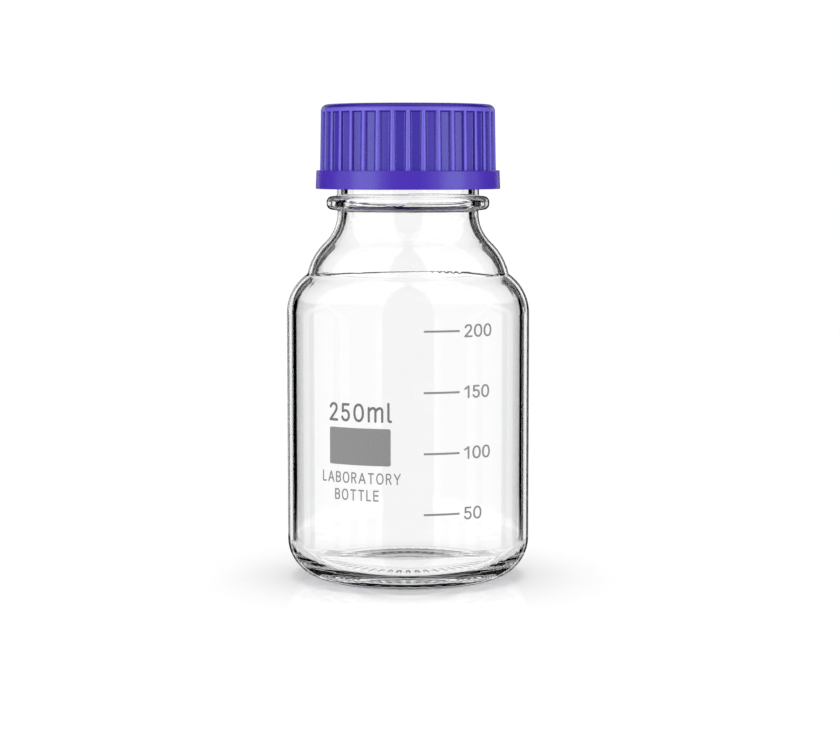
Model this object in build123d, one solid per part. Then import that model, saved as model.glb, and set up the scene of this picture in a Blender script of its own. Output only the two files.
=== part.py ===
from build123d import *
import os
from math import asin, cos, degrees, hypot, radians, sin, sqrt

# A 250 ml screw-cap reagent bottle. Millimetres, +Z up, origin at the centre of the base on
# the surface it stands on. The printed side faces -Y. Profiles are drawn on the XZ plane as
# (radius, height) and turned about Z. The screw thread is right-handed.

# Glass body
BODY_R = 35.0
WALL = 1.5
HEEL_R = 11.4
INNER_HEEL_R = 7.7
HEEL_THICKNESS = 4.0
REST_INNER_R = 21.4
PUSH_UP = 1.6
FLOOR_THICKNESS = 3.4
SHOULDER_Z = 76.6
CREASE_R = 29.05
CREASE_Z = 87.9
CREASE_ROUND = 0.3
INNER_CREASE_ROUND = 3.0

# Neck, bead and finish
NECK_R = 20.3
NECK_Z = 105.5
NECK_TURN = 46.5
CREASE_TURN = 12.0
BEAD_R = 23.45
BEAD_BOTTOM_Z = 106.4
BEAD_TOP_Z = 110.3
BEAD_ROUND = 1.7
BEAD_ROOT_ROUND = 0.5
FINISH_R = 20.45
FINISH_TOP_Z = 128.3
FINISH_BORE_R = 18.2
BORE_TAPER_Z = (114.0, 118.0)
SNAP_GROOVE_R = 19.0
SNAP_GROOVE_Z = (128.9, 129.9)
RIM_R = 19.5
RIM_Z = 130.4
LIP_Z = 132.4
LIP_ROUND = 0.5

# Stippled ring that the bottle stands on
NOTCH_COUNT = 54
NOTCH_R = 0.8
NOTCH_DEPTH = 0.35
NOTCH_LENGTH = 4.2

# Screw thread: the glass ridge, and the cap ridge half a pitch below it
PITCH = 4.0
THREAD_TURNS = 2.0
ROOT_SINK = 0.35
GLASS_THREAD_Z = 118.2
GLASS_THREAD_R = 22.3
GLASS_THREAD_HALF_WIDTHS = (1.5, 0.75)
GLASS_THREAD_ROUND = 0.6
CAP_THREAD_Z = GLASS_THREAD_Z - PITCH / 2
CAP_THREAD_R = 20.95
CAP_THREAD_HALF_WIDTHS = (0.95, 0.45)
CAP_THREAD_ROUND = 0.3

# Screw cap
CAP_BOTTOM_Z = 112.4
CAP_TOP_Z = 136.5
BAND_TOP_Z = 117.7
BAND_R = (26.55, 26.35)
BAND_ROUND = 0.25
RIB_R = (25.3, 25.0)
RIB_COUNT = 36
RIB_END_Z = 134.4
RIB_ROUND = 1.0
RIB_FOOT_ROUND = 0.45
GROOVE_DEPTH = 0.7
GROOVE_RUNOUT = 0.5
CAP_CORNER_R = 2.0
CAP_BORE_R = 22.75
CAP_CEILING_Z = 134.7
CAP_ENTRY_CHAMFER = 0.7
TOP_RECESS_R = 18.5
TOP_RECESS_DEPTH = 0.3
GATE_R = 1.6
GATE_HEIGHT = 0.2

# Seal and pouring ring
SEAL_R = 22.4
SEAL_BOTTOM_Z = 133.2
SEAL_CHAMFER = 0.2
POUR_BORE_R = 18.3
POUR_SKIRT_R = 20.3
POUR_TIP_R = 20.65
POUR_TOP_Z = 133.1
POUR_TIP_Z = 132.8
POUR_BOTTOM_Z = 129.1
POUR_FLARE_Z = 131.4
HOOK_GAP = 0.15
SNAP_GAP = 0.1
LIP_GAP = 0.05

# Fired-on prints: angles in degrees round from the front, towards +X
PRINT_THICKNESS = 0.1
PRINT_FONT = "Relief SingleLine CAD"
FONT_HEIGHT = 0.681
FONT_MIDDLE = 0.063
PRINT_REACH = 3.0
PRINT_LAYER_HEIGHT = 20.0
GAPS_AFTER_ONE = 2
SCALE_VOLUMES = (50, 100, 150, 200)
SCALE_FIRST_Z = 22.85
SCALE_STEP = 16.95
SCALE_LINE = (7.1, 24.0)
SCALE_LINE_WIDTH = 0.56
SCALE_TEXT_START = 26.3
SCALE_TEXT = {"height": 3.65, "stroke": 0.5, "gap": 0.5, "squeeze": 1.1}
CAPACITY_START = -38.6
CAPACITY_Z = 51.05
CAPACITY_TEXT = {"height": 5.2, "stroke": 0.72, "gap": 1.1, "squeeze": 0.88}
FIELD_SPAN = (-38.4, -7.9)
FIELD_Z = (36.4, 46.75)
FIELD_ROUND = 0.5
CAPTION_LINES = (("LABORATORY", -42.8, 32.85), ("BOTTLE", -35.5, 28.05))
CAPTION_TEXT = {"height": 3.2, "stroke": 0.42, "gap": 0.62, "squeeze": 0.82}

OVERCUT = 1.0
RIDGE_CUT_WIDTHS = 4


def at(radius, height):
    return Vector(radius, 0, height)


def path(points):
    """Straight edges through (radius, height) points."""
    corners = [at(*point) for point in points]
    return [Edge.make_line(a, b) for a, b in zip(corners, corners[1:])]


def arc(centre, radius, start, end):
    """Arc in the XZ plane, with its angles in degrees from +X towards +Z."""
    points = []
    for angle in (start, (start + end) / 2, end):
        turn = radians(angle)
        points.append(at(centre[0] + radius * cos(turn), centre[1] + radius * sin(turn)))
    return Edge.make_three_point_arc(*points)


def dome(edge_r, edge_z, rise):
    """Shallow arc from the axis, level there, out to a radius."""
    radius = (edge_r**2 + rise**2) / (2 * rise)
    half_angle = degrees(asin(edge_r / radius))
    return arc((0, edge_z + rise - radius), radius, 90, 90 - half_angle)


def outline(edges):
    return Face(Wire.combine(edges)[0])


def rounded(face, corners):
    """The face with its corners at the listed (radius, height, round) places rounded."""
    for radius, height, size in corners:
        corner = face.vertices().sort_by_distance(at(radius, height))[0]
        face = face.fillet_2d(size, [corner])
    return face


def turned(face):
    return revolve(face, Axis.Z)


def shoulder_arc():
    """Centre and radius of the arc from the straight wall in to the crease."""
    run = BODY_R - CREASE_R
    rise = CREASE_Z - SHOULDER_Z
    radius = (run**2 + rise**2) / (2 * run)
    return (BODY_R - radius, SHOULDER_Z), radius


def neck_arcs():
    """The two tangent arcs between neck and crease: the hollow one, then the full one."""
    neck_cos, neck_sin = cos(radians(NECK_TURN)), sin(radians(NECK_TURN))
    crease_cos, crease_sin = cos(radians(CREASE_TURN)), sin(radians(CREASE_TURN))
    run = CREASE_R - NECK_R
    fall = NECK_Z - CREASE_Z
    run_each = (1 - neck_cos, crease_cos - neck_cos)
    fall_each = (neck_sin, neck_sin - crease_sin)
    det = run_each[0] * fall_each[1] - run_each[1] * fall_each[0]
    hollow = (run * fall_each[1] - run_each[1] * fall) / det
    full = (run_each[0] * fall - run * fall_each[0]) / det
    hollow_centre = (NECK_R + hollow, NECK_Z)
    full_centre = (CREASE_R - full * crease_cos, CREASE_Z - full * crease_sin)
    return hollow_centre, hollow, full_centre, full


def inner_crease(centre_a, radius_a, centre_b, radius_b):
    """Where the inner faces of neck and shoulder cross, as angles round each centre."""
    across, up = centre_b[0] - centre_a[0], centre_b[1] - centre_a[1]
    gap = hypot(across, up)
    along = (gap**2 + radius_a**2 - radius_b**2) / (2 * gap)
    aside = sqrt(radius_a**2 - along**2)
    x = centre_a[0] + (across * along - up * aside) / gap
    z = centre_a[1] + (up * along + across * aside) / gap
    angle_a = degrees(asin((z - centre_a[1]) / radius_a))
    angle_b = degrees(asin((z - centre_b[1]) / radius_b))
    return (x, z), angle_a, angle_b


def ridge(centre_z, root_r, crest_r, half_widths, crest_round):
    """One helical thread ridge with rounded ends, turning anticlockwise as it rises."""
    root_half, crest_half = half_widths
    profile = outline(path([
        (root_r, -root_half), (crest_r, -crest_half), (crest_r, crest_half),
        (root_r, root_half), (root_r, -root_half)]))
    profile = rounded(profile, [(crest_r, -crest_half, crest_round), (crest_r, crest_half, crest_round)])
    height = PITCH * THREAD_TURNS
    helix = Helix(PITCH, height, (root_r + crest_r) / 2)
    body = sweep(profile, path=helix, is_frenet=True)
    half = profile & Pos((root_r + crest_r) / 2, 0, root_half) * Rot(90, 0, 0) * Rectangle(
        RIDGE_CUT_WIDTHS * abs(crest_r - root_r), 2 * root_half)
    start = revolve(half, Axis.X, 180)
    finish = revolve(half, Axis.X, -180)
    body = body + start + Pos(0, 0, height) * Rot(0, 0, 360 * THREAD_TURNS) * finish
    return Pos(0, 0, centre_z) * body


def glass_profile():
    hollow_centre, hollow, full_centre, full = neck_arcs()
    shoulder_centre, shoulder = shoulder_arc()
    shoulder_end = degrees(asin((CREASE_Z - SHOULDER_Z) / shoulder))
    crease_in, full_in, shoulder_in = inner_crease(
        full_centre, full - WALL, shoulder_centre, shoulder - WALL)
    heel_centre = (BODY_R - HEEL_R, HEEL_R)
    inner_heel_centre = (BODY_R - WALL - INNER_HEEL_R, HEEL_THICKNESS + INNER_HEEL_R)
    bore_r = NECK_R - WALL
    edges = [dome(REST_INNER_R, 0, PUSH_UP)]
    edges += path([(REST_INNER_R, 0), (heel_centre[0], 0)])
    edges += [arc(heel_centre, HEEL_R, -90, 0)]
    edges += path([(BODY_R, HEEL_R), (BODY_R, SHOULDER_Z)])
    edges += [arc(shoulder_centre, shoulder, 0, shoulder_end)]
    edges += [arc(full_centre, full, CREASE_TURN, NECK_TURN)]
    edges += [arc(hollow_centre, hollow, 180 + NECK_TURN, 180)]
    edges += path([
        (NECK_R, NECK_Z), (NECK_R, BEAD_BOTTOM_Z), (BEAD_R, BEAD_BOTTOM_Z), (BEAD_R, BEAD_TOP_Z),
        (FINISH_R, BEAD_TOP_Z), (FINISH_R, FINISH_TOP_Z), (SNAP_GROOVE_R, SNAP_GROOVE_Z[0]),
        (SNAP_GROOVE_R, SNAP_GROOVE_Z[1]), (RIM_R, RIM_Z), (RIM_R, LIP_Z), (FINISH_BORE_R, LIP_Z),
        (FINISH_BORE_R, BORE_TAPER_Z[1]), (bore_r, BORE_TAPER_Z[0]), (bore_r, NECK_Z)])
    edges += [arc(hollow_centre, hollow + WALL, 180, 180 + NECK_TURN)]
    edges += [arc(full_centre, full - WALL, NECK_TURN, full_in)]
    edges += [arc(shoulder_centre, shoulder - WALL, shoulder_in, 0)]
    edges += path([(BODY_R - WALL, SHOULDER_Z), (BODY_R - WALL, inner_heel_centre[1])])
    edges += [arc(inner_heel_centre, INNER_HEEL_R, 0, -90)]
    edges += [dome(inner_heel_centre[0], HEEL_THICKNESS, PUSH_UP + FLOOR_THICKNESS - HEEL_THICKNESS)]
    edges += path([(0, PUSH_UP + FLOOR_THICKNESS), (0, PUSH_UP)])
    return rounded(outline(edges), [
        (CREASE_R, CREASE_Z, CREASE_ROUND), (*crease_in, INNER_CREASE_ROUND),
        (NECK_R, BEAD_BOTTOM_Z, BEAD_ROOT_ROUND), (BEAD_R, BEAD_BOTTOM_Z, BEAD_ROUND),
        (BEAD_R, BEAD_TOP_Z, BEAD_ROUND), (FINISH_R, BEAD_TOP_Z, BEAD_ROOT_ROUND),
        (RIM_R, LIP_Z, LIP_ROUND), (FINISH_BORE_R, LIP_Z, LIP_ROUND)])


def rest_notches():
    """Small radial grooves across the ring that the bottle stands on."""
    ring_r = (REST_INNER_R + BODY_R - HEEL_R) / 2
    groove = Pos(ring_r, 0, NOTCH_DEPTH - NOTCH_R) * Rot(0, 90, 0) * Cylinder(NOTCH_R, NOTCH_LENGTH)
    half_step = 180 / NOTCH_COUNT
    return [Rot(0, 0, half_step * (2 * i + 1)) * groove for i in range(NOTCH_COUNT)]


def glass_bottle():
    body = turned(glass_profile()) - rest_notches()
    thread = ridge(
        GLASS_THREAD_Z, FINISH_R - ROOT_SINK, GLASS_THREAD_R, GLASS_THREAD_HALF_WIDTHS, GLASS_THREAD_ROUND)
    return body + thread


def pouring_ring():
    """Drip-free ring: a cap over the lip, a sharp edge, and a skirt hooked under the rim."""
    skirt_r = RIM_R + SNAP_GAP
    hook_r = SNAP_GROOVE_R + HOOK_GAP
    under_z = LIP_Z + LIP_GAP
    return turned(outline(path([
        (POUR_BORE_R, POUR_TOP_Z), (POUR_BORE_R, under_z), (skirt_r, under_z), (skirt_r, RIM_Z - LIP_GAP),
        (hook_r, SNAP_GROOVE_Z[1]), (hook_r, POUR_BOTTOM_Z), (POUR_SKIRT_R, POUR_BOTTOM_Z),
        (POUR_SKIRT_R, POUR_FLARE_Z), (POUR_TIP_R, POUR_TIP_Z), (POUR_SKIRT_R, POUR_TOP_Z),
        (POUR_BORE_R, POUR_TOP_Z)])))


def cap_seal():
    """Liner disc that the cap presses on the pouring ring."""
    disc = Pos(0, 0, (SEAL_BOTTOM_Z + CAP_CEILING_Z) / 2) * Cylinder(SEAL_R, CAP_CEILING_Z - SEAL_BOTTOM_Z)
    return chamfer(disc.edges().filter_by(GeomType.CIRCLE), SEAL_CHAMFER)


def rib_outline():
    """Ribbed outline at the foot of the ribs: a rounded crest and a rounded groove, repeated."""
    step = 360 / RIB_COUNT
    crest = Pos(RIB_R[0] - RIB_ROUND, 0) * Circle(RIB_ROUND)
    core = Circle(RIB_R[0] - GROOVE_DEPTH)
    sharp = core + [Rot(0, 0, step * i) * crest for i in range(RIB_COUNT)]
    return fillet(sharp.vertices(), RIB_FOOT_ROUND)


def cap_shell():
    """Outer form of the cap, with its top corner rounded and its band at the foot."""
    runout_z = RIB_END_Z - GROOVE_RUNOUT
    top = outline(path([
        (0, runout_z), (RIB_R[1] - GROOVE_DEPTH, runout_z), (RIB_R[1], RIB_END_Z), (RIB_R[1], CAP_TOP_Z),
        (0, CAP_TOP_Z), (0, runout_z)]))
    top = rounded(top, [(RIB_R[1], CAP_TOP_Z, CAP_CORNER_R)])
    band = outline(path([
        (0, CAP_BOTTOM_Z), (BAND_R[0], CAP_BOTTOM_Z), (BAND_R[1], BAND_TOP_Z), (0, BAND_TOP_Z),
        (0, CAP_BOTTOM_Z)]))
    band = rounded(band, [(BAND_R[0], CAP_BOTTOM_Z, BAND_ROUND), (BAND_R[1], BAND_TOP_Z, BAND_ROUND)])
    rise = RIB_END_Z - BAND_TOP_Z
    draft = degrees(asin((RIB_R[0] - RIB_R[1]) / rise))
    ribs = extrude(Pos(0, 0, BAND_TOP_Z) * rib_outline(), rise, taper=draft)
    return turned(top) + turned(band) + ribs


def screw_cap():
    cavity = outline(path([
        (0, CAP_BOTTOM_Z - OVERCUT), (CAP_BORE_R + CAP_ENTRY_CHAMFER + OVERCUT, CAP_BOTTOM_Z - OVERCUT),
        (CAP_BORE_R, CAP_BOTTOM_Z + CAP_ENTRY_CHAMFER), (CAP_BORE_R, CAP_CEILING_Z), (0, CAP_CEILING_Z),
        (0, CAP_BOTTOM_Z - OVERCUT)]))
    recess = Pos(0, 0, CAP_TOP_Z) * Cylinder(TOP_RECESS_R, 2 * TOP_RECESS_DEPTH)
    gate = Pos(0, 0, CAP_TOP_Z - TOP_RECESS_DEPTH) * Cylinder(GATE_R, 2 * GATE_HEIGHT)
    thread = ridge(
        CAP_THREAD_Z, CAP_BORE_R + ROOT_SINK, CAP_THREAD_R, CAP_THREAD_HALF_WIDTHS, CAP_THREAD_ROUND)
    return cap_shell() - turned(cavity) - recess + gate + thread


def tangent(angle, height):
    """Plane that faces out of the glass at an angle round from the front."""
    turn = radians(angle)
    return Plane((0, 0, height), x_dir=(cos(turn), sin(turn), 0), z_dir=(sin(turn), -cos(turn), 0))


def fired_on(sketch, angle, height):
    """A flat shape wrapped on the glass as a thin layer of enamel."""
    block = extrude(tangent(angle, height).offset(BODY_R - PRINT_REACH) * sketch, 2 * PRINT_REACH)
    layer = Pos(0, 0, height) * (
        Cylinder(BODY_R + PRINT_THICKNESS, PRINT_LAYER_HEIGHT) - Cylinder(BODY_R, PRINT_LAYER_HEIGHT))
    return (block & layer).solids()


def patch(span, z_range, corner_round=0.0):
    """A rectangle of enamel between two angles and two heights."""
    half_turn = radians(span[1] - span[0]) / 2
    shape = Rectangle(2 * BODY_R * sin(half_turn), z_range[1] - z_range[0])
    if corner_round:
        shape = fillet(shape.vertices(), corner_round)
    return fired_on(shape, (span[0] + span[1]) / 2, (z_range[0] + z_range[1]) / 2)


def lettering(text, start_angle, height_z, height, stroke, gap, squeeze):
    """Characters set one after another round the glass, their capitals centred on height_z."""
    solids = []
    angle = start_angle
    font_size = (height - stroke) / FONT_HEIGHT
    for character in text:
        glyph = Text(
            character, font_size=font_size, font=PRINT_FONT, single_line_width=stroke,
            align=(Align.CENTER, Align.NONE))
        glyph = scale(Pos(0, -FONT_MIDDLE * font_size) * glyph, by=(squeeze, 1, 1))
        width = degrees(glyph.bounding_box().size.X / BODY_R)
        solids += fired_on(glyph, angle + width / 2, height_z)
        space = GAPS_AFTER_ONE * gap if character == "1" else gap
        angle += width + degrees(space / BODY_R)
    return solids


def graduation(volume):
    """One line of the scale and the volume beside it."""
    line_z = SCALE_FIRST_Z + SCALE_STEP * SCALE_VOLUMES.index(volume)
    half_width = SCALE_LINE_WIDTH / 2
    line = patch(SCALE_LINE, (line_z - half_width, line_z + half_width))
    return Compound(line + lettering(str(volume), SCALE_TEXT_START, line_z, **SCALE_TEXT))


def capacity_mark():
    return Compound(lettering("250ml", CAPACITY_START, CAPACITY_Z, **CAPACITY_TEXT))


def writing_field():
    return Compound(patch(FIELD_SPAN, FIELD_Z, FIELD_ROUND))


def caption():
    solids = []
    for words, start_angle, line_z in CAPTION_LINES:
        solids += lettering(words, start_angle, line_z, **CAPTION_TEXT)
    return Compound(solids)


def main():
    os.makedirs("parts", exist_ok=True)
    nodes = {
        "glass_bottle": glass_bottle(),
        "pouring_ring": pouring_ring(),
        "screw_cap": screw_cap(),
        "cap_seal": cap_seal(),
        "capacity_mark": capacity_mark(),
        "writing_field": writing_field(),
        "caption": caption(),
    }
    for volume in SCALE_VOLUMES:
        nodes[f"graduation_{volume}"] = graduation(volume)
    for name, shape in nodes.items():
        export_step(shape, f"parts/{name}.step")


main()
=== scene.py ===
from math import cos, pi, radians, sin

import bmesh
import bpy
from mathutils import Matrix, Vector

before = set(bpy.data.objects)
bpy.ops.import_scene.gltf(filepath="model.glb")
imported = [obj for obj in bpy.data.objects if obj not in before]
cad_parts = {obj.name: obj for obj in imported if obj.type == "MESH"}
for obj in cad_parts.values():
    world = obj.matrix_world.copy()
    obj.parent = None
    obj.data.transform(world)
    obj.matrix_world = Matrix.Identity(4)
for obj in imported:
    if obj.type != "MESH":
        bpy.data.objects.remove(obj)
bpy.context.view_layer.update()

# A clear laboratory bottle with a blue screw cap in a white studio tent. Metres and degrees, in the CAD
# frame. The camera stands on the -Y side and faces the printed front of the bottle.

CAMERA_DISTANCE = 0.660
CAMERA_HEIGHT = 0.1205
CAMERA_PITCH = 5.24
CAMERA_YAW = 0.30
CAMERA_LENS = 97.9
SENSOR_WIDTH = 36.0
NEAREST_SEEN = 0.01
GLASS_BOUNCES = 32
GLOSSY_BOUNCES = 16
BRIGHTEST_INDIRECT = 4.0

# A noise below the first level gives the first colour or value, and above the second the second
NOISE_SPREAD = (0.3, 0.7)
SPECKLE_SPREAD = (0.35, 0.65)

GLASS_IOR = 1.47
GLASS_TINTS = ((0.99, 0.993, 0.992), (0.996, 0.998, 0.997))
GLASS_CORD_SCALE = 30.0

# The cap's blue by distance from the axis, with the ribs' lean towards the top added back
# The ramp paints light and shade: a painted highlight on the crests, a weaker painted highlight in the
# grooves, painted shade on the flanks
CAP_RADII = (0.0262, 0.0286)
RIB_LEAN = 0.018
TOP_BLUE = (0.095, 0.035, 0.57)
GROOVE_HIGHLIGHT_BLUE = (0.09, 0.05, 0.55)
FLANK_SHADE_BLUE = (0.042, 0.012, 0.34)
CREST_HIGHLIGHT_BLUE = (0.22, 0.15, 0.86)
BAND_BLUE = (0.095, 0.035, 0.59)
CAP_LIGHT_AND_SHADE_STOPS = (
    (0.10, TOP_BLUE), (0.20, GROOVE_HIGHLIGHT_BLUE), (0.27, FLANK_SHADE_BLUE), (0.38, FLANK_SHADE_BLUE), (0.46, CREST_HIGHLIGHT_BLUE),
    (0.56, CREST_HIGHLIGHT_BLUE), (0.70, BAND_BLUE))
CAP_SPECULAR = 0.4
CAP_ROUGHNESS = (0.26, 0.3)
CAP_MOTTLE_SCALE = 120.0
CAP_GRAIN_STRENGTH = 0.1

PLASTIC_IOR = 1.49
PLASTIC_BUMP_DISTANCE = 0.0002
GLOSS_FINENESS = 3
GRAIN_FINENESS = 12
RING_BLUES = ((0.05, 0.06, 0.42), (0.07, 0.08, 0.48))
RING_ROUGHNESS = (0.35, 0.42)
RING_MOTTLE_SCALE = 120.0
SEAL_CREAMS = ((0.74, 0.73, 0.69), (0.8, 0.79, 0.75))
SEAL_ROUGHNESS = (0.5, 0.6)
SEAL_MOTTLE_SCALE = 200.0
GRAIN_STRENGTH = 0.12

ENAMEL_IOR = 1.5
ENAMEL_ROUGHNESS = 0.55
ENAMEL_SPECKLE_SCALE = 2600.0
ENAMEL_BUMP = 0.15
ENAMEL_BUMP_DISTANCE = 0.0001
MARK_GREYS = (0.5, 0.57)
BOLD_GREYS = (0.33, 0.4)
FIELD_GREYS = (0.52, 0.58)

# The world's brightness: to the camera, to mirrored or refracted rays, and to matt faces
BACKGROUND_WHITE = 1.02
GLASS_WHITE = 1.07
AMBIENT = 0.55

# Seen through the glass, four white backdrops stand a quarter turn apart. Round each come a dark ring, a
# white one and a dark outside. Up to LEVEL_BAND off the camera's pitch only the turn from the backdrop
# counts. Beyond that, a degree up or down counts as PITCH_WEIGHT degrees of turn.
QUARTER_TURN = 90.0
LEVEL_BAND = 6.0
PITCH_WEIGHT = 1.3
RING = (13.0, 20.5)
OUTSIDE = (31.0, 32.0)
EDGE_SOFTNESS = 0.5

# The backdrops' dark ends at this height of a direction, and it leaves out a disc below each corner
HORIZON = (-0.26, -0.22)
CORNER_PITCH = 20.0
CORNER_RADIUS = (11.0, 12.0)

# The backdrops' dark is fainter in the camera's half of the room. Straight behind the camera all is dark.
FRONT_HALF = (89.0, 91.0)
FRONT_SHARE = 0.7
CAMERA_SIDE = (154.9, 155.9)

# Outer faces mirror two dark rings, at these angles from the way the camera looks
NEAR_RING = (1.0, 24.0)
SIDE_RING = (31.0, 80.0)

# A ray is dark too when it was mirrored on its way through four faces and leaves nearly level
FACES_CROSSED = 3.5
TIMES_MIRRORED = 0.5
LEVEL_FROM = (-0.24, -0.2)
LEVEL_TO = (0.04, 0.08)

FLOOR_HALF_WIDTH = 1.0
FLOOR_TINTS = ((0.9, 0.9, 0.86), (0.92, 0.92, 0.88))
FLOOR_GRAIN_SCALE = 40.0
FLOOR_GLOW = 0.47
FLOOR_GLOW_COLOUR = (0.95, 0.93, 1)
FLOOR_GLOSS = 0.15
FLOOR_GLOSS_ROUGHNESS = 0.05

SOFTBOX_DISTANCE = 0.9
SOFTBOX_HEIGHT = 0.2
SOFTBOX_AIM = (0, 0, 0.125)
SOFTBOX_RADIANCE = 2.8
SOFTBOX_COLOUR = (0.75, 0.95, 1.0)
SOFTBOXES = {"left_softbox": (-54, (0.55, 0.6)), "right_softbox": (58, (0.5, 0.6))}
OPAQUE_PARTS = ("screw_cap", "pouring_ring", "cap_seal")
TOP_LIGHT_HEIGHT = 2.5
TOP_LIGHT_SIZE = (1.5, 1.5)
TOP_LIGHT_RADIANCE = 3.4


class Nodes:
    """The node tree of a material or a world, with short ways to add, join and reckon."""

    def __init__(self, owner):
        owner.use_nodes = True
        self.tree = owner.node_tree
        self.tree.nodes.clear()

    def add(self, kind, **inputs):
        node = self.tree.nodes.new("ShaderNode" + kind)
        for key, value in inputs.items():
            node.inputs[key.replace("_", " ")].default_value = value
        return node

    def join(self, out_socket, in_socket):
        self.tree.links.new(out_socket, in_socket)

    def math(self, operation, *values):
        """A Math node fed by sockets or plain numbers; returns its output."""
        node = self.add("Math")
        node.operation = operation
        for socket, value in zip(node.inputs, values):
            if isinstance(value, (int, float)):
                socket.default_value = value
            else:
                self.join(value, socket)
        return node.outputs[0]

    def degrees(self, operation, *values):
        return self.math("MULTIPLY", self.math(operation, *values), 180 / pi)

    def step(self, value, low, high, start=0.0, end=1.0):
        """The value start below low, end above high, and a straight run between."""
        node = self.add("MapRange", From_Min=low, From_Max=high, To_Min=start, To_Max=end)
        self.join(value, node.inputs["Value"])
        return node.outputs["Result"]

    def between(self, angle, start, end):
        """1 between the angles start and end, with soft edges."""
        rise = self.step(angle, start - EDGE_SOFTNESS, start + EDGE_SOFTNESS)
        fall = self.step(angle, end - EDGE_SOFTNESS, end + EDGE_SOFTNESS, 1.0, 0.0)
        return self.math("MULTIPLY", rise, fall)

    def mix(self, share, a, b):
        """The value a where share is 0 and b where it is 1."""
        rest = self.math("SUBTRACT", 1.0, share)
        return self.math("ADD", self.math("MULTIPLY", a, rest), self.math("MULTIPLY", b, share))

    def axes(self, coordinates):
        split = self.add("SeparateXYZ")
        self.join(self.add("TexCoord").outputs[coordinates], split.inputs["Vector"])
        return (split.outputs[name] for name in "XYZ")

    def noise(self, scale, detail=3.0, roughness=0.5):
        texture = self.add("TexNoise", Scale=scale, Detail=detail, Roughness=roughness)
        self.join(self.add("TexCoord").outputs["Object"], texture.inputs["Vector"])
        return texture.outputs["Fac"]

    def ramp(self, factor, stops, in_socket):
        """Colour an input by a factor, through (position, colour) stops."""
        node = self.add("ValToRGB")
        elements = node.color_ramp.elements
        while len(elements) < len(stops):
            elements.new(0.5)
        for element, (position, colour) in zip(elements, stops):
            element.position = position
            element.color = (*colour, 1)
        self.join(factor, node.inputs["Fac"])
        self.join(node.outputs["Color"], in_socket)

    def mottle(self, factor, colours, in_socket, spread=NOISE_SPREAD):
        """Colour an input from the first of two colours to the second, by a noise."""
        self.ramp(factor, list(zip(spread, colours)), in_socket)

    def bump(self, height, strength, distance, shader):
        node = self.add("Bump", Strength=strength, Distance=distance)
        self.join(height, node.inputs["Height"])
        self.join(node.outputs["Normal"], shader.inputs["Normal"])

    def finish(self, kind, in_name, out_socket):
        """Join a shader to a new output node."""
        self.join(out_socket, self.add(kind).inputs[in_name])


def new_material(name):
    material = bpy.data.materials.new(name)
    return material, Nodes(material)


def glass_material():
    """Clear glass with the faint cords of a melt in its tint."""
    material, nodes = new_material("clear_glass")
    shader = nodes.add("BsdfPrincipled", Roughness=0.0, IOR=GLASS_IOR, Transmission_Weight=1.0)
    nodes.mottle(nodes.noise(GLASS_CORD_SCALE), GLASS_TINTS, shader.inputs["Base Color"])
    nodes.finish("OutputMaterial", "Surface", shader.outputs["BSDF"])
    return material


def finish_plastic(nodes, shader, scale, roughness, strength):
    """Give moulded plastic or rubber an uneven gloss and a fine grain."""
    gloss = nodes.noise(scale * GLOSS_FINENESS, detail=2.0)
    nodes.join(nodes.step(gloss, *NOISE_SPREAD, *roughness), shader.inputs["Roughness"])
    nodes.bump(nodes.noise(scale * GRAIN_FINENESS, detail=2.0), strength, PLASTIC_BUMP_DISTANCE, shader)
    nodes.finish("OutputMaterial", "Surface", shader.outputs["BSDF"])


def cap_material():
    """Blue plastic with a painted highlight on the ribs' crests, a weaker painted highlight in the grooves
    and painted shade on the flanks.
    """
    material, nodes = new_material("cap_plastic")
    shader = nodes.add("BsdfPrincipled", IOR=PLASTIC_IOR, Specular_IOR_Level=CAP_SPECULAR)
    x, y, z = nodes.axes("Object")
    squares = nodes.math("MULTIPLY_ADD", x, x, nodes.math("MULTIPLY", y, y))
    radius = nodes.math("MULTIPLY_ADD", z, RIB_LEAN, nodes.math("SQRT", squares))
    # Painted highlights on the crests and in the grooves, painted shade on the flanks
    nodes.ramp(nodes.step(radius, *CAP_RADII), CAP_LIGHT_AND_SHADE_STOPS, shader.inputs["Base Color"])
    finish_plastic(nodes, shader, CAP_MOTTLE_SCALE, CAP_ROUGHNESS, CAP_GRAIN_STRENGTH)
    return material


def plastic_material(name, colours, roughness, scale):
    """Moulded plastic or rubber with a mottled colour."""
    material, nodes = new_material(name)
    shader = nodes.add("BsdfPrincipled", IOR=PLASTIC_IOR)
    nodes.mottle(nodes.noise(scale, detail=4.0, roughness=0.6), colours, shader.inputs["Base Color"])
    finish_plastic(nodes, shader, scale, roughness, GRAIN_STRENGTH)
    return material


def enamel_material(name, greys):
    """Fired grey enamel with a fine speckle."""
    material, nodes = new_material(name)
    shader = nodes.add("BsdfPrincipled", Roughness=ENAMEL_ROUGHNESS, IOR=ENAMEL_IOR)
    speckle = nodes.noise(ENAMEL_SPECKLE_SCALE, roughness=0.7)
    colours = [(grey, grey, grey) for grey in greys]
    nodes.mottle(speckle, colours, shader.inputs["Base Color"], SPECKLE_SPREAD)
    nodes.bump(speckle, ENAMEL_BUMP, ENAMEL_BUMP_DISTANCE, shader)
    nodes.finish("OutputMaterial", "Surface", shader.outputs["BSDF"])
    return material


def dress_frame():
    materials = {
        "glass_bottle": glass_material(),
        "screw_cap": cap_material(),
        "pouring_ring": plastic_material("ring_plastic", RING_BLUES, RING_ROUGHNESS, RING_MOTTLE_SCALE),
        "cap_seal": plastic_material("seal_rubber", SEAL_CREAMS, SEAL_ROUGHNESS, SEAL_MOTTLE_SCALE),
        "writing_field": enamel_material("field_enamel", FIELD_GREYS),
        "capacity_mark": enamel_material("bold_enamel", BOLD_GREYS),
    }
    mark = enamel_material("mark_enamel", MARK_GREYS)
    for name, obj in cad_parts.items():
        obj.data.materials.clear()
        obj.data.materials.append(materials.get(name, mark))


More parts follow.
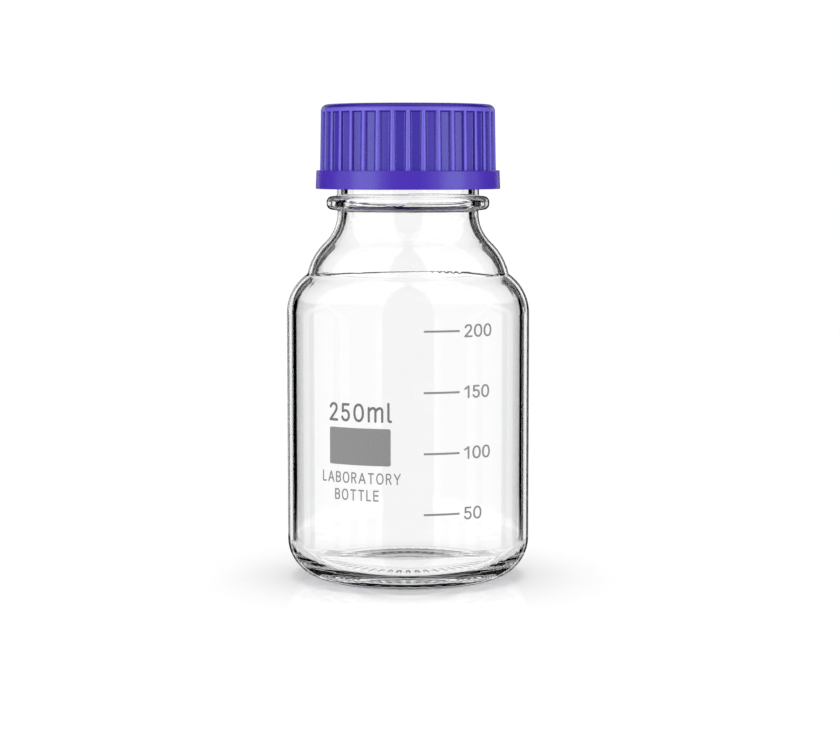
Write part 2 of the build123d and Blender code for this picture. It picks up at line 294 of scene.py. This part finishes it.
def backdrop_darkness(nodes, turn, rise, height):
    """The dark round the nearest backdrop; its outside fades away sooner towards the horizon."""
    across = nodes.math("PINGPONG", turn, QUARTER_TURN / 2)
    off_level = nodes.math("ABSOLUTE", nodes.math("ADD", rise, CAMERA_PITCH))
    past_level = nodes.math("MAXIMUM", nodes.math("SUBTRACT", off_level, LEVEL_BAND), 0.0)
    nearest = nodes.math("MULTIPLY_ADD", past_level, PITCH_WEIGHT, across)
    above = nodes.step(height, *HORIZON)
    outside = nodes.math("MULTIPLY", nodes.step(nearest, *OUTSIDE), above)
    rings = nodes.math("MAXIMUM", nodes.between(nearest, *RING), outside)
    aside = nodes.math("SUBTRACT", QUARTER_TURN / 2, across)
    below = nodes.math("ADD", rise, CORNER_PITCH)
    squares = nodes.math("MULTIPLY_ADD", below, below, nodes.math("MULTIPLY", aside, aside))
    off_corner = nodes.step(nodes.math("SQRT", squares), *CORNER_RADIUS)
    return nodes.math("MULTIPLY", nodes.math("MULTIPLY", rings, above), off_corner)


def hollow_reflections(nodes, path, height):
    """1 for a nearly level ray that was mirrored on its way through the bottle, and else 0."""
    crossed = nodes.math("GREATER_THAN", path["Transmission Depth"], FACES_CROSSED)
    mirrored = nodes.math("GREATER_THAN", path["Glossy Depth"], TIMES_MIRRORED)
    level = nodes.math("MULTIPLY", nodes.step(height, *LEVEL_FROM), nodes.step(height, *LEVEL_TO, 1.0, 0.0))
    return nodes.math("MULTIPLY", nodes.math("MULTIPLY", crossed, mirrored), level)


def studio_world():
    """White studio all round, with the dark shapes that give glass its dark edges."""
    world = bpy.data.worlds.new("studio")
    bpy.context.scene.world = world
    nodes = Nodes(world)
    x, y, z = nodes.axes("Generated")
    turn = nodes.degrees("ARCTAN2", x, y)
    rise = nodes.degrees("ARCSINE", z)
    along = nodes.math("MULTIPLY", y, cos(radians(CAMERA_PITCH)))
    down = nodes.math("MULTIPLY", z, sin(radians(CAMERA_PITCH)))
    ahead = nodes.degrees("ARCCOSINE", nodes.math("SUBTRACT", along, down))
    camera_side = nodes.step(nodes.math("ABSOLUTE", turn), *CAMERA_SIDE)
    path = nodes.add("LightPath").outputs
    backdrops = backdrop_darkness(nodes, turn, rise, z)
    fainter = nodes.math("MULTIPLY", backdrops, FRONT_SHARE)
    backdrops = nodes.mix(nodes.step(ahead, *FRONT_HALF), backdrops, fainter)
    through = nodes.math("MAXIMUM", backdrops, camera_side)
    through = nodes.mix(hollow_reflections(nodes, path, z), through, 1.0)
    rings = nodes.math("MAXIMUM", nodes.between(ahead, *NEAR_RING), nodes.between(ahead, *SIDE_RING))
    off_faces = nodes.math("MAXIMUM", rings, camera_side)
    dark = nodes.mix(path["Is Transmission Ray"], off_faces, through)
    in_glass = nodes.math("MULTIPLY_ADD", dark, -GLASS_WHITE, GLASS_WHITE)
    mirrored = nodes.math("MAXIMUM", path["Is Glossy Ray"], path["Is Transmission Ray"])
    shade = nodes.mix(mirrored, AMBIENT, in_glass)
    light = nodes.add("Background", Color=(1, 1, 1, 1))
    nodes.join(nodes.mix(path["Is Camera Ray"], shade, BACKGROUND_WHITE), light.inputs["Strength"])
    nodes.finish("OutputWorld", "Surface", light.outputs["Background"])


def floor_material():
    """Pale floor that glows a little, so that only the shadow is darker than the background."""
    material, nodes = new_material("studio_floor")
    matt = nodes.add("BsdfPrincipled", Roughness=1.0, IOR=1.0, Emission_Strength=FLOOR_GLOW)
    matt.inputs["Emission Color"].default_value = (*FLOOR_GLOW_COLOUR, 1)
    nodes.mottle(nodes.noise(FLOOR_GRAIN_SCALE), FLOOR_TINTS, matt.inputs["Base Color"])
    mirror = nodes.add("BsdfGlossy", Roughness=FLOOR_GLOSS_ROUGHNESS)
    blend = nodes.add("MixShader", Fac=FLOOR_GLOSS)
    nodes.join(matt.outputs["BSDF"], blend.inputs[1])
    nodes.join(mirror.outputs["BSDF"], blend.inputs[2])
    nodes.finish("OutputMaterial", "Surface", blend.outputs["Shader"])
    return material


def floor():
    """The floor, which only the camera sees, so that the glass shows no horizon."""
    bm = bmesh.new()
    bmesh.ops.create_grid(bm, x_segments=1, y_segments=1, size=FLOOR_HALF_WIDTH)
    mesh = bpy.data.meshes.new("floor")
    bm.to_mesh(mesh)
    bm.free()
    mesh.materials.append(floor_material())
    obj = bpy.data.objects.new("floor", mesh)
    bpy.context.scene.collection.objects.link(obj)
    obj.visible_diffuse = False
    obj.visible_glossy = False
    obj.visible_transmission = False
    return obj


def softbox(name, place, target, size, radiance, colour, receivers):
    """A rectangular light on some objects only; radiance is its brightness against white."""
    data = bpy.data.lights.new(name, "AREA")
    data.shape = "RECTANGLE"
    data.size, data.size_y = size
    data.energy = radiance * pi * size[0] * size[1]
    data.color = colour
    obj = bpy.data.objects.new(name, data)
    bpy.context.scene.collection.objects.link(obj)
    obj.location = place
    obj.rotation_euler = (Vector(target) - Vector(place)).to_track_quat("-Z", "Y").to_euler()
    obj.light_linking.receiver_collection = receivers


def group(name, objects):
    collection = bpy.data.collections.new(name)
    for obj in objects:
        collection.objects.link(obj)
    return collection


def lights(ground):
    """Two softboxes that the glass doesn't mirror, and a light from above for the floor's shadow."""
    opaque = group("opaque_parts", [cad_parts[name] for name in OPAQUE_PARTS])
    for name, (azimuth, size) in SOFTBOXES.items():
        turn = radians(azimuth)
        place = (SOFTBOX_DISTANCE * sin(turn), -SOFTBOX_DISTANCE * cos(turn), SOFTBOX_HEIGHT)
        softbox(name, place, SOFTBOX_AIM, size, SOFTBOX_RADIANCE, SOFTBOX_COLOUR, opaque)
    softbox("top_softbox", (0, 0, TOP_LIGHT_HEIGHT), (0, 0, 0), TOP_LIGHT_SIZE, TOP_LIGHT_RADIANCE,
            (1, 1, 1), group("floor_only", [ground]))


def camera():
    data = bpy.data.cameras.new("camera")
    data.sensor_width = SENSOR_WIDTH
    data.lens = CAMERA_LENS
    data.clip_start = NEAREST_SEEN
    data.dof.use_dof = False
    obj = bpy.data.objects.new("camera", data)
    bpy.context.scene.collection.objects.link(obj)
    obj.location = (0, -CAMERA_DISTANCE, CAMERA_HEIGHT)
    obj.rotation_euler = (radians(90 - CAMERA_PITCH), 0, radians(-CAMERA_YAW))
    bpy.context.scene.camera = obj


def light_paths():
    """Plain colours, and enough bounces for light to get through every wall of the bottle."""
    scene = bpy.context.scene
    scene.view_settings.view_transform = "Standard"
    scene.view_settings.look = "None"
    scene.cycles.max_bounces = GLASS_BOUNCES
    scene.cycles.transmission_bounces = GLASS_BOUNCES
    scene.cycles.glossy_bounces = GLOSSY_BOUNCES
    scene.cycles.sample_clamp_indirect = BRIGHTEST_INDIRECT


dress_frame()
ground = floor()
studio_world()
lights(ground)
camera()
light_paths()
